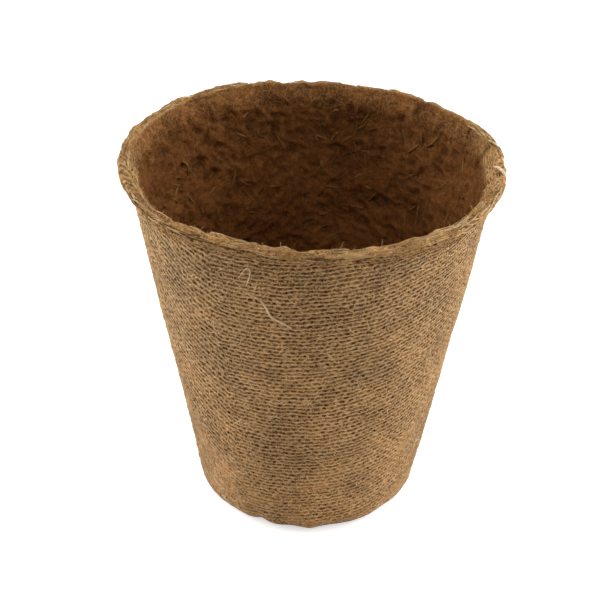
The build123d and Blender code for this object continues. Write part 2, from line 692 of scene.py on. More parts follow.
def tangent_arc(start: Vector, end: Vector, tangent: Vector) -> tuple[Vector, float]:
    """Finds the arc that leaves a point along a direction and ends at another.

    Args:
        start: Where the arc starts, as distance from the axis and height.
        end: Where it ends.
        tangent: Direction of its start.

    Returns:
        Its centre, and how far it turns, in radians.
    """
    chord = end - start
    square = Vector((tangent.y, -tangent.x)).normalized()
    centre = start + square * (chord.length_squared / (2 * chord.dot(square)))
    return centre, 2 * math.atan2(chord.dot(square), chord.dot(tangent.normalized()))


@dataclass(frozen=True)
class LipSkin:
    """The flared lip, pressed below and torn along its top."""

    strand_length: float = 5.0
    strand_width: float = 0.6
    strand_height: float = 0.4
    lumps: tuple[Lumps, ...] = (
        Lumps(size=3.4, height=0.4, seed=21),
        Lumps(size=1.2, height=0.3, seed=22),
        Lumps(size=0.5, height=0.14, seed=23),
    )
    torn_depth: float = 1.4
    torn_fade: float = 0.5
    inner_torn: float = 0.45
    back_torn: float = 0.12
    back_right: float = 100.0
    back_left: float = 135.0
    back_fade: float = 35.0
    outer_fade: Pair = (0.1, 0.5)
    lip_rise: float = 3.0
    flank: Pair = (1.5, 2.7)
    inside_calm: float = 0.6
    torn_calm: float = 0.7
    whole_rough: float = 0.2
    torn_mark_loss: float = 0.85
    groove_shade: float = 2.5
    fold_shade: float = 0.6
    crest_reach: float = 0.7
    lip_inside_loss: float = 0.2
    pressed_inside_loss: float = 0.95
    pressed_torn_loss: float = 0.8
    pressed_pale: float = 0.22
    pressed_sides: tuple[Pair, ...] = ((-78.0, 15.0), (82.0, 20.0))
    # Grooves under the torn edge, which also get painted shade.
    grooves: tuple[Crease, ...] = (
        Crease(first=(-42, 79.0), last=(-22, 78.85), width=0.26, depth=0.95, wander=0.25),
        Crease(first=(-22, 78.85), last=(-10, 78.75), width=0.22, depth=0.8, wander=0.25),
        Crease(first=(-10, 78.75), last=(9, 78.8), width=0.24, depth=0.7, wander=0.25),
        Crease(first=(-72, 79.5), last=(-56, 79.5), width=0.22, depth=0.6),
        Crease(first=(-56, 79.5), last=(-32, 79.6), width=0.22, depth=0.65),
        Crease(first=(13, 76.8), last=(18.5, 78.8), width=0.36, depth=0.45),
        Crease(first=(18.5, 78.8), last=(48, 78.7), width=0.28, depth=0.3),
        Crease(first=(-64, 78.7), last=(-42, 78.5), width=0.22, depth=0.5),
    )
    folds: tuple[Dent, ...] = (
        Dent(bearing=81.5, spread=1.3, depth=0.7),
        Dent(bearing=76, spread=2.6, depth=-0.15),
        Dent(bearing=101, spread=1.0, depth=0.4),
        Dent(bearing=13, spread=2.6, depth=0.35),
        Dent(bearing=-121, spread=1.6, depth=0.4),
        Dent(bearing=-136, spread=2.0, depth=0.4),
        Dent(bearing=166, spread=1.8, depth=0.3),
        Dent(bearing=141, spread=1.5, depth=0.4),
    )
    pale_spots: tuple[Patch, ...] = (
        Patch(bearing=11, height=79.6, spread=3.6, rise=1.0, share=1.0),
        Patch(bearing=11, height=76.6, spread=2.4, rise=1.1, share=0.5),
    )

    @cached_property
    def inside_arc(self) -> tuple[Vector, float]:
        """Finds the lip's inside in the section.

        Returns:
            Centre and radius of its arc.
        """
        start = Vector((POT.inner_radius(POT.neck_height), POT.neck_height))
        end = Vector((POT.rim_radius - POT.lip_top_width, POT.pot_height))
        centre = tangent_arc(start, end, POT.uphill)[0]
        return centre, (end - centre).length

    def outer_share(self, points: Array) -> Array:
        """Works out how far through the lip some points lie.

        Args:
            points: Places on the lip.

        Returns:
            Shares from 0 inside to 1 outside.
        """
        centre, size = self.inside_arc
        depth = size - np.hypot(radius_of(points) - centre.x, points[:, 2] - centre.y)
        return smooth_step(*self.outer_fade, depth / POT.wall_thickness)

    def torn_share(self, points: Array, outer: Array) -> Array:
        """Works out how torn the lip is.

        Args:
            points: Places on the lip.
            outer: How far through the lip they lie.

        Returns:
            Shares from 0 to 1.
        """
        bearing = bearing_of(points)
        past_side = np.abs(bearing) - np.where(bearing > 0, self.back_right, self.back_left)
        back = smooth_step(0, self.back_fade, past_side)
        inner = self.inner_torn - (self.inner_torn - self.back_torn) * back
        start = POT.pot_height - self.torn_depth * (inner + (1 - inner) * outer)
        torn = smooth_step(0, self.torn_fade, points[:, 2] - start)
        return torn * (1 - self.pressed_torn_loss * self.pressed_share(points))

    def pressed_share(self, points: Array) -> Array:
        """How far the cloth reached over the lip at some points, from 0 to 1."""
        bearing = bearing_of(points)
        return np.maximum(*(bell(bearing_gap(bearing, side), spread) for side, spread in self.pressed_sides))

    def at(self, points: Array) -> FeltNotes:
        """Looks up the lip.

        Args:
            points: Places on the true lip.

        Returns:
            The outside or inside skin at the neck, which turns into torn strands towards the top.
        """
        outside, inside = OUTSIDE.at(points), INSIDE.at(points)
        outer = self.outer_share(points)
        torn = self.torn_share(points, outer)
        up_lip = smooth_step(0, self.lip_rise, points[:, 2] - POT.neck_height)
        flank = smooth_step(*self.flank, points[:, 2] - POT.neck_height)
        reach = (radius_of(points) - POT.rim_radius) / self.strand_width
        reach = POT.rim_radius / self.strand_length + reach
        strands = place(bearing_of(points), reach, points[:, 2] / self.strand_width)
        rough = self.strand_height * unevenness(strands, seed=24) + total(self.lumps, points)
        groove = total(self.grooves, points) * outer
        fold = total(self.folds, points) * up_lip
        skin = outer * outside.height + (1 - outer) * inside.height * (1 - self.inside_calm * up_lip)
        loose = (self.whole_rough + (1 - self.whole_rough) * torn) * up_lip
        pressed = self.pressed_share(points)
        # Painted shade in the grooves and folds of the lip, added to the outside's.
        tone = outside.crease * outer + groove * self.groove_shade + self.fold_shade * np.maximum(fold, 0)
        crest = outer * outside.crest + (1 - outer) * inside.crest
        open_share = (1 - self.pressed_inside_loss * pressed * flank) * (1 - self.lip_inside_loss * up_lip)
        marked = (outer + (1 - outer) * up_lip * pressed) * (1 - self.torn_mark_loss * torn)
        return FeltNotes(
            height=skin * (1 - self.torn_calm * torn) + rough * loose - groove - fold,
            along=outside.along, row=outside.row, mark=outside.mark * marked,
            crease=np.clip(tone, 0, 1), torn=torn,
            crest=crest * (1 - torn) + torn * crest_share(rough, self.crest_reach),
            inside=(1 - outer) * (1 - torn) * open_share,
            pale=total(self.pale_spots, points) * outer + self.pressed_pale * pressed * up_lip)


OUTSIDE = OutsideSkin()
INSIDE = InsideSkin()
LIP = LipSkin()


class SectionPen:
    """Draws the half section of a felt piece in the plane of +X and +Z."""

    def __init__(self, mesh: bmesh.types.BMesh, start: Vector) -> None:
        """Puts the pen down.

        Args:
            mesh: Mesh to draw in.
            start: First point, as distance from the axis and height.
        """
        self.mesh = mesh
        self.first = mesh.verts.new((start.x, 0, start.y))
        self.tip = self.first

    def spin(self, steps: int, **way: object) -> None:
        """Draws on from the tip in some equal edges."""
        spun = bmesh.ops.spin(self.mesh, geom=[self.tip], axis=(0, 1, 0), steps=steps, **way)
        self.tip = spun["geom_last"][0]

    def line(self, end: Vector, steps: int = 1) -> None:
        """Draws a straight line to a point, in some equal edges."""
        stride = (Vector((end.x, 0, end.y)) - self.tip.co) / steps
        self.spin(steps, cent=(0, 0, 0), dvec=stride, angle=0)

    def arc(self, end: Vector, tangent: Vector, steps: int) -> None:
        """Draws an arc to a point, which starts along a direction, in some equal edges."""
        centre, turn = tangent_arc(Vector((self.tip.co.x, self.tip.co.z)), end, tangent)
        self.spin(steps, cent=(centre.x, 0, centre.y), angle=turn)

    def close(self) -> None:
        """Draws a straight line back to the first point."""
        self.mesh.edges.new((self.tip, self.first))


def read(items: bpy.types.bpy_prop_collection, name: str, width: int = 1, kind: type = float) -> Array:
    """Reads one property of all items of a mesh.

    Args:
        items: Vertices, edges, faces or corners.
        name: Name of the property.
        width: How many numbers it has.
        kind: Kind of its numbers.

    Returns:
        One row for each item, or one number where the width is 1.
    """
    values = np.empty(len(items) * width, kind)
    items.foreach_get(name, values)
    return values.reshape(-1, width) if width > 1 else values


def add_piece(name: str, data: bpy.types.Mesh, material: bpy.types.Material) -> bpy.types.Object:
    """Puts a finished mesh on the pot.

    Args:
        name: Name of the piece.
        data: Its mesh, in place and in metres.
        material: Its finish.

    Returns:
        The new object.
    """
    data.materials.append(material)
    piece = bpy.data.objects.new(name, data)
    bpy.context.scene.collection.objects.link(piece)
    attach(piece, BODY)
    LOG.info("%s: %d triangles", name, (read(data.polygons, "loop_total", kind=int) - 2).sum())
    return piece


@dataclass
class FeltPiece:
    """A piece of felt that is turned from a section and then roughened."""

    name: str
    node: str
    slot: str
    columns: int
    first_bearing: float = -180.0
    sweep: float = 360.0

    def draw(self, mesh: bmesh.types.BMesh) -> None:
        """Draws the closed half section."""
        raise NotImplementedError

    def hidden(self, middles: Array) -> Array:
        """Which faces lie inside the felt, by their middles."""
        raise NotImplementedError

    def skin(self, points: Array) -> FeltNotes:
        """Looks up the surface that the visible points belong to."""
        raise NotImplementedError

    def turn(self, mesh: bmesh.types.BMesh) -> None:
        """Turns the section round the axis into a closed piece.

        Args:
            mesh: Mesh that holds the section, and then the piece.
        """
        start = Matrix.Rotation(math.radians(self.first_bearing - 90), 3, "Z")
        bmesh.ops.rotate(mesh, verts=mesh.verts[:], matrix=start)
        section = bpy.data.meshes.new(self.name)
        mesh.to_mesh(section)
        holder = bpy.data.objects.new(self.name, section)
        bpy.context.scene.collection.objects.link(holder)
        screw = holder.modifiers.new("turn", "SCREW")
        screw.angle = math.radians(self.sweep)
        screw.steps = screw.render_steps = self.columns
        depsgraph = bpy.context.evaluated_depsgraph_get()
        turned = bpy.data.meshes.new_from_object(holder.evaluated_get(depsgraph))
        mesh.clear()
        mesh.from_mesh(turned)
        bpy.data.objects.remove(holder)
        bpy.data.meshes.remove(section)
        bpy.data.meshes.remove(turned)
        bmesh.ops.remove_doubles(mesh, verts=mesh.verts[:], dist=MERGE_GAP)
        bmesh.ops.holes_fill(mesh, edges=[edge for edge in mesh.edges if edge.is_boundary], sides=0)
        bmesh.ops.recalc_face_normals(mesh, faces=mesh.faces[:])

    def roughen(self, data: bpy.types.Mesh) -> None:
        """Gives the visible faces their unevenness, notes it for the finish and scales the piece to metres.

        Args:
            data: Mesh of the piece, in millimetres.
        """
        points = read(data.vertices, "co", 3)
        hidden = self.hidden(read(data.polygons, "center", 3))
        corners = read(data.loops, "vertex_index", kind=int)
        edges = read(data.loops, "edge_index", kind=int)
        owner = np.repeat(np.arange(len(data.polygons)), read(data.polygons, "loop_total", kind=int))
        seen = ~hidden[owner]
        facing = read(data.polygons, "normal", 3)[owner[seen]]
        sums = [np.bincount(corners[seen], facing[:, axis], len(points)) for axis in range(3)]
        normals = np.stack(sums, axis=1)
        normals /= np.maximum(np.linalg.norm(normals, axis=1, keepdims=True), TINY)
        notes = self.skin(points)
        moved = points + normals * notes.height[:, None] + WARP.shift(points)
        moved[:, 2] = np.maximum(moved[:, 2], 0)
        data.vertices.foreach_set("co", (moved * MM).ravel())
        for note in fields(notes)[1:]:
            layer = data.attributes.new(note.name, "FLOAT", "POINT")
            layer.data.foreach_set("value", getattr(notes, note.name))
        shown = np.bincount(edges, seen, len(data.edges))
        border = (shown > 0) & (shown < np.bincount(edges, minlength=len(data.edges)))
        data.attributes.new("sharp_edge", "BOOLEAN", "EDGE").data.foreach_set("value", border)
        data.polygons.foreach_set("use_smooth", np.ones(len(data.polygons), bool))
        data.update()

    def build(self, material: bpy.types.Material) -> bpy.types.Object:
        """Makes the piece.

        Args:
            material: Finish of the piece.

        Returns:
            Its object, riding on the pot and standing for its node.
        """
        mesh = bmesh.new()
        self.draw(mesh)
        self.turn(mesh)
        data = bpy.data.meshes.new(self.name)
        mesh.to_mesh(data)
        mesh.free()
        self.roughen(data)
        piece = add_piece(self.name, data, material)
        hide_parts(self.node)
        return piece


@dataclass
class OutsideWall(FeltPiece):
    """The outer half of the wall under one panel of the cloth, with the heel's round."""

    node: str = "side_wall"
    slot: str = "felt"
    columns: int = 250
    sweep: float = 180.0
    panel: ClothPanel = ClothPanel.RIGHT
    skin_depth: float = 0.75
    wall_rows: int = 346
    heel_rows: int = 18
    ground_rows: int = 3

    def draw(self, mesh: bmesh.types.BMesh) -> None:
        """Draws from the floor's edge round the heel, up to the neck and back down inside the felt.

        Args:
            mesh: Mesh to draw in.
        """
        heel_start = Vector((POT.heel_start, 0))
        heel_end = Vector((POT.base_radius, 0)) + POT.uphill * (POT.base_radius - POT.heel_start)
        inward = Vector((-math.cos(POT.taper), math.sin(POT.taper))) * self.skin_depth
        neck = Vector((POT.neck_radius, POT.neck_height))
        pen = SectionPen(mesh, Vector((POT.floor_radius, 0)))
        pen.line(heel_start, self.ground_rows)
        pen.arc(heel_end, Vector((1, 0)), self.heel_rows)
        pen.line(neck, self.wall_rows)
        pen.line(neck - Vector((self.skin_depth / math.cos(POT.taper), 0)))
        pen.line(heel_end + inward)
        pen.line(heel_start + Vector((0, self.skin_depth)))
        pen.line(Vector((POT.floor_radius, self.skin_depth)))
        pen.close()

    def hidden(self, middles: Array) -> Array:
        """Finds the faces inside the felt or against the neck or floor.

        Args:
            middles: Middles of the faces.

        Returns:
            Whether each face is hidden.
        """
        radius, height = radius_of(middles), middles[:, 2]
        in_wall = (POT.outer_radius(height) - radius) * math.cos(POT.taper) > SKIN_GAP
        in_heel = np.hypot(radius - POT.heel_start, POT.heel_radius - height) < POT.heel_radius - SKIN_GAP
        in_heel |= radius < POT.heel_start
        inside = np.where(height > POT.heel_radius, in_wall, in_wall & in_heel)
        on_ground = (height < FLUSH) & (radius > POT.floor_radius + EDGE_GAP)
        return inside & ~on_ground | (height > POT.neck_height - FLUSH)

    def skin(self, points: Array) -> FeltNotes:
        """Looks up the outside."""
        return OUTSIDE.at(points, self.panel)


@dataclass
class InsideWall(FeltPiece):
    """The inner half of the wall, with the round of its inside corner."""

    name: str = "wall_inside"
    node: str = "side_wall"
    slot: str = "felt"
    columns: int = 440
    skin_depth: float = 1.25
    wall_rows: int = 186
    corner_rows: int = 10

    def draw(self, mesh: bmesh.types.BMesh) -> None:
        """Draws from the floor's edge round the corner, up to the neck and back down inside the felt.

        Args:
            mesh: Mesh to draw in.
        """
        corner = Vector((POT.inner_radius(POT.floor_thickness), POT.floor_thickness))
        start = corner - Vector((POT.corner_fill, 0))
        neck = Vector((POT.inner_radius(POT.neck_height), POT.neck_height))
        level, down = Vector((self.skin_depth, 0)), Vector((0, -self.skin_depth))
        pen = SectionPen(mesh, start)
        pen.arc(corner + POT.uphill * POT.corner_fill, Vector((1, 0)), self.corner_rows)
        pen.line(neck, self.wall_rows)
        pen.line(neck + level)
        pen.line(corner + level)
        pen.line(corner + down)
        pen.line(start + down)
        pen.close()

    def hidden(self, middles: Array) -> Array:
        """Finds the faces inside the felt or against the neck or floor.

        Args:
            middles: Middles of the faces.

        Returns:
            Whether each face is hidden.
        """
        radius, height = radius_of(middles), middles[:, 2]
        against = (height > POT.neck_height - FLUSH) | (height < POT.floor_thickness + FLUSH)
        return against | (radius > POT.inner_radius(height) + SKIN_GAP)

    def skin(self, points: Array) -> FeltNotes:
        """Looks up the inside."""
        return INSIDE.at(points)


@dataclass
class TornLip(FeltPiece):
    """The flared lip with its torn edge."""

    name: str = "torn_lip"
    node: str = "rim_lip"
    slot: str = "lip_felt"
    columns: int = 1000
    wear: float = 0.75
    under_wear: float = 0.35
    under_drop: float = 0.2
    under_rows: int = 5
    flare_rows: int = 26
    corner_rows: int = 7
    edge_rows: int = 7
    top_rows: int = 3
    inside_rows: int = 24

    def draw(self, mesh: bmesh.types.BMesh) -> None:
        """Draws out from the neck, over the edge and down the inside to the neck.

        Args:
            mesh: Mesh to draw in.
        """
        rim, top = POT.rim_radius, POT.pot_height
        inner_top = Vector((rim - POT.lip_top_width, top))
        inner_neck = Vector((POT.inner_radius(POT.neck_height), POT.neck_height))
        centre = tangent_arc(inner_neck, inner_top, POT.uphill)[0]
        size = (inner_neck - centre).length
        low = top - self.wear
        inner_low = Vector((centre.x - math.sqrt(size ** 2 - (low - centre.y) ** 2), low))
        downhill = Vector((low - centre.y, centre.x - inner_low.x)) * -1
        pen = SectionPen(mesh, Vector((POT.neck_radius, POT.neck_height)))
        under = top - POT.lip_edge_height
        pen.arc(Vector((rim - self.under_wear, under - self.under_drop)), POT.uphill, self.flare_rows)
        pen.line(Vector((rim, under + self.under_wear)), self.under_rows)
        pen.line(Vector((rim, low)), self.edge_rows)
        pen.arc(Vector((rim - self.wear, top)), Vector((0, 1)), self.corner_rows)
        pen.line(inner_top + Vector((self.wear / 2, 0)), self.top_rows)
        pen.arc(inner_low, Vector((-1, 0)), self.corner_rows)
        pen.arc(inner_neck, downhill, self.inside_rows)
        pen.close()

    def hidden(self, middles: Array) -> Array:
        """Which faces lie against the neck."""
        return middles[:, 2] < POT.neck_height + FLUSH

    def skin(self, points: Array) -> FeltNotes:
        """Looks up the lip."""
        return LIP.at(points)


@dataclass
class FeltFloor(FeltPiece):
    """The disc that the pot stands on."""

    name: str = "felt_floor"
    node: str = "floor"
    slot: str = "felt"
    columns: int = 220
    top_rows: int = 46
    ground_rows: int = 24

    def draw(self, mesh: bmesh.types.BMesh) -> None:
        """Draws out along the underside, up the edge and back along the top.

        Args:
            mesh: Mesh to draw in.
        """
        pen = SectionPen(mesh, Vector((0, 0)))
        pen.line(Vector((POT.floor_radius, 0)), self.ground_rows)
        pen.line(Vector((POT.floor_radius, POT.floor_thickness)))
        pen.line(Vector((0, POT.floor_thickness)), self.top_rows)

    def hidden(self, middles: Array) -> Array:
        """Which faces lie against the wall."""
        return radius_of(middles) > POT.floor_radius - EDGE_GAP

    def skin(self, points: Array) -> FeltNotes:
        """Looks up the inside on the top and the outside below.

        Args:
            points: Places on the true floor.

        Returns:
            The unevenness of both.
        """
        below = points[:, 2] < POT.floor_thickness / 2
        under, above = OUTSIDE.at(points), INSIDE.at(points)
        return FeltNotes(*(np.where(below, getattr(under, note.name), getattr(above, note.name))
                           for note in fields(FeltNotes)))


class Side(Enum):
    """The side of the wall that a fibre lies on."""

    OUTSIDE = 1
    INSIDE = -1


def on_wall(side: Side, bearing: Array, height: Array, lift: Array) -> Array:
    """Points on the roughened wall.

    Args:
        side: Side of the wall.
        bearing: Bearings of the points.
        height: Their heights.
        lift: How far off the felt they lie.

    Returns:
        One row of x, y and z for each point.
    """
    radius = POT.outer_radius(height) if side is Side.OUTSIDE else POT.inner_radius(height)
    true = place(bearing, radius, height)
    notes = OUTSIDE.at(true) if side is Side.OUTSIDE else INSIDE.at(true)
    normal = place(bearing, math.cos(POT.taper), -math.sin(POT.taper)) * side.value
    return true + normal * (notes.height + lift)[:, None] + WARP.shift(true)


@dataclass
class FibreBundle:
    """Loose fibres of the felt, as one piece."""

    name: str
    slot: str = "straw"
    bends: int = 2
    creases: int = 0
    tip_share: float = 0.35
    lines: list[tuple[Array, float]] = field(default_factory=list)

    def lay(self, points: Array, diameter: float) -> None:
        """Adds one fibre along some points."""
        self.lines.append((points, diameter))

    def build(self, material: bpy.types.Material) -> bpy.types.Object:
        """Makes the piece.

        Args:
            material: Finish of the fibres.

        Returns:
            Its object, riding on the pot.
        """
        curve = bpy.data.curves.new(self.name, "CURVE")
        curve.dimensions = "3D"
        curve.bevel_depth = 1.0
        curve.bevel_resolution = self.creases
        curve.resolution_u = self.bends
        curve.use_fill_caps = True
        for points, diameter in self.lines:
            spline = curve.splines.new("NURBS")
            spline.points.add(len(points) - 1)
            for number, (spot, point) in enumerate(zip(spline.points, points)):
                from_middle = abs(2 * number / (len(points) - 1) - 1)
                spot.co = (*point, 1)
                spot.radius = diameter / 2 * (1 - (1 - self.tip_share) * from_middle ** 2)
            spline.order_u = 3
            spline.use_endpoint_u = True
        holder = bpy.data.objects.new(self.name, curve)
        data = bpy.data.meshes.new_from_object(holder)
        bpy.data.objects.remove(holder)
        bpy.data.curves.remove(curve)
        mesh = bmesh.new()
        mesh.from_mesh(data)
        bmesh.ops.remove_doubles(mesh, verts=mesh.verts[:], dist=MERGE_GAP)
        bmesh.ops.scale(mesh, vec=(MM, MM, MM), verts=mesh.verts[:])
        bmesh.ops.recalc_face_normals(mesh, faces=mesh.faces[:])
        for face in mesh.faces:
            face.smooth = True
        mesh.to_mesh(data)
        mesh.free()
        data.name = self.name
        data.materials.clear()
        return add_piece(self.name, data, material)


@dataclass
class LyingFibres:
    """Fibres that lie on one side of the wall, strewn at random."""

    name: str
    side: Side
    count: int
    heights: Pair
    lengths: Pair
    diameters: Pair
    lift: float
    wander: float
    seed: int
    steps: int = 5
    lift_spread: Pair = (0.4, 1.4)
    placed: tuple[tuple[Pair, ...], ...] = ()

    def build(self, material: bpy.types.Material) -> bpy.types.Object:
        """Makes the piece.

        Args:
            material: Finish of the fibres.

        Returns:
            Its object.
        """
        chance = random.Random(self.seed)
        tracks = [np.array(path) for path in self.placed]
        tracks += [self.track(chance) for _ in range(self.count)]
        spots = np.concatenate(tracks)
        lift = self.lift * np.array([chance.uniform(*self.lift_spread) for _ in spots])
        points = on_wall(self.side, spots[:, 0], spots[:, 1], lift)
        bundle = FibreBundle(self.name)
        for line in np.split(points, np.cumsum([len(track) for track in tracks])[:-1]):
            bundle.lay(line, chance.uniform(*self.diameters))
        return bundle.build(material)

    def track(self, chance: random.Random) -> Array:
        """Draws the way of one fibre.

        Args:
            chance: Source of chance.

        Returns:
            One row of bearing and height for each of its points.
        """
        bearing, height = chance.uniform(-180, 180), chance.uniform(*self.heights)
        heading, bow = chance.uniform(0, 360), chance.gauss(0, self.wander)
        stride = chance.uniform(*self.lengths) / (self.steps - 1)
        spots = []
        for _ in range(self.steps):
            spots.append((bearing, min(max(height, self.heights[0]), self.heights[1])))
            bearing += math.degrees(stride * math.cos(math.radians(heading)) / POT.outer_radius(height))
            height += stride * math.sin(math.radians(heading))
            heading += bow + chance.gauss(0, self.wander / 2)
        return np.array(spots)


@dataclass(frozen=True)
class TornLayer:
    """Vertices of the torn lip, and which of them are torn enough to carry loose fibres."""

    points: Array
    normals: Array
    roots: Array

    @classmethod
    def of(cls, lip: bpy.types.Object, least_torn: float) -> "TornLayer":
        """Reads the torn lip.

        Args:
            lip: The lip.
            least_torn: How torn a vertex has to be to carry a fibre.

        Returns:
            Its vertices in millimetres.
        """
        torn = read(lip.data.attributes["torn"].data, "value")
        points, normals = (read(lip.data.vertices, name, 3) for name in ("co", "normal"))
        return cls(points / MM, normals, np.flatnonzero(torn > least_torn))


@dataclass(frozen=True)
class Tuft:
    """A stretch of the torn edge with more fibres than the rest."""

    bearing: float
    spread: float
    count: int


@dataclass
class RimFluff:
    """Short fibres that stand out of the torn edge."""

    name: str = "rim_fluff"
    count: int = 700
    lengths: Pair = (0.35, 1.0)
    diameters: Pair = (0.05, 0.09)
    least_torn: float = 0.5
    root_depth: float = 0.1
    stand: Pair = (0.3, 1.0)
    stray: float = 0.8
    bow: float = 0.5
    bow_steps: tuple[float, ...] = (0, 0.33, 0.67, 1)
    tuft_depth: float = 2.5
    tufts: tuple[Tuft, ...] = (
        Tuft(bearing=-52, spread=4, count=60),
        Tuft(bearing=-45, spread=3, count=40),
        Tuft(bearing=-31, spread=3, count=20),
        Tuft(bearing=60, spread=4, count=20),
    )
    seed: int = 7

    def build(self, lip: bpy.types.Object, material: bpy.types.Material) -> bpy.types.Object:
        """Makes the piece.

        Args:
            lip: The torn lip that the fibres stand on.
            material: Finish of the fibres.

        Returns:
            Its object.
        """
        chance = random.Random(self.seed)
        torn = TornLayer.of(lip, self.least_torn)
        bundle = FibreBundle(self.name)
        on_top = torn.roots[torn.points[torn.roots, 2] > POT.pot_height - self.tuft_depth]
        bearing = bearing_of(torn.points[on_top])
        picks = [torn.roots[chance.randrange(len(torn.roots))] for _ in range(self.count)]
        for tuft in self.tufts:
            near = on_top[np.abs(bearing_gap(bearing, tuft.bearing)) < tuft.spread]
            picks += [near[chance.randrange(len(near))] for _ in range(tuft.count)]
        for root in picks:
            normal = torn.normals[root]
            length = chance.uniform(*self.lengths)
            aside = np.array([chance.gauss(0, self.stray) for _ in range(3)])
            bend = np.array([chance.gauss(0, self.bow) for _ in range(3)])
            way = normal * chance.uniform(*self.stand) + aside
            way /= np.linalg.norm(way)
            start = torn.points[root] - normal * self.root_depth
            track = [start + length * (share * way + share ** 2 * bend) for share in self.bow_steps]
            bundle.lay(np.array(track), chance.uniform(*self.diameters))
        return bundle.build(material)


@dataclass
class LipStrands:
    """Loose strands that lie along the torn lip."""

    name: str = "lip_strands"
    count: int = 300
    lengths: Pair = (2.0, 6.5)
    diameters: Pair = (0.12, 0.32)
    least_torn: float = 0.35
    lift: float = 0.04
    lift_spread: float = 0.12
    drift: float = 0.12
    steps: int = 6
    seed: int = 9

    def build(self, lip: bpy.types.Object, material: bpy.types.Material) -> bpy.types.Object:
        """Makes the piece.

        Args:
            lip: The torn lip that the strands lie on.
            material: Finish of the strands.

        Returns:
            Its object.
        """
        chance = random.Random(self.seed)
        torn = TornLayer.of(lip, self.least_torn)
        near = KDTree(len(torn.points))
        for number, point in enumerate(torn.points):
            near.insert(point, number)
        near.balance()
        bundle = FibreBundle(self.name)
        for _ in range(self.count):
            root = torn.points[torn.roots[chance.randrange(len(torn.roots))]]
            length, drift = chance.uniform(*self.lengths), chance.gauss(0, self.drift)
            diameter = chance.uniform(*self.diameters)
            line = []
            for share in np.linspace(0, 1, self.steps):
                turn = Matrix.Rotation(length * share / POT.rim_radius, 3, "Z")
                spot = turn @ Vector(root) + Vector((0, 0, drift * length * share))
                number = near.find(spot)[1]
                lift = self.lift + chance.uniform(0, self.lift_spread)
                line.append(torn.points[number] + torn.normals[number] * lift)
            bundle.lay(np.array(line), diameter)
        return bundle.build(material)


@dataclass
class RimCurls:
    """Curled strands that stand off the lip, each a diameter with bearings, radii and heights."""

    name: str
    placed: tuple[tuple[float, tuple[tuple[float, float, float], ...]], ...]

    def build(self, material: bpy.types.Material) -> bpy.types.Object:
        """Makes the piece.

        Args:
            material: Finish of the strands.

        Returns:
            Its object.
        """
        bundle = FibreBundle(self.name, bends=4, creases=1)
        for diameter, path in self.placed:
            true = place(*np.array(path).T)
            bundle.lay(true + WARP.shift(true), diameter)
        return bundle.build(material)


@dataclass
class Straw:
    """One of the two longer straws on the front, with any side fibres."""

    name: str
    node: str
    diameter: float
    path: tuple[Pair, ...]
    lift: float
    branches: tuple[tuple[Pair, ...], ...] = ()
    branch_share: float = 0.55

    def build(self, material: bpy.types.Material) -> bpy.types.Object:
        """Makes the piece.

        Args:
            material: Finish of the straw.

        Returns:
            Its object, standing for its node.
        """
        bundle = FibreBundle(self.name, bends=6, creases=2)
        for path in (self.path, *self.branches):
            bearing, height = np.array(path).T
            share = 1 if path is self.path else self.branch_share
            lift = np.full(len(path), self.lift)
            bundle.lay(on_wall(Side.OUTSIDE, bearing, height, lift), self.diameter * share)
        straw = bundle.build(material)
        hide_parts(self.node)
        return straw


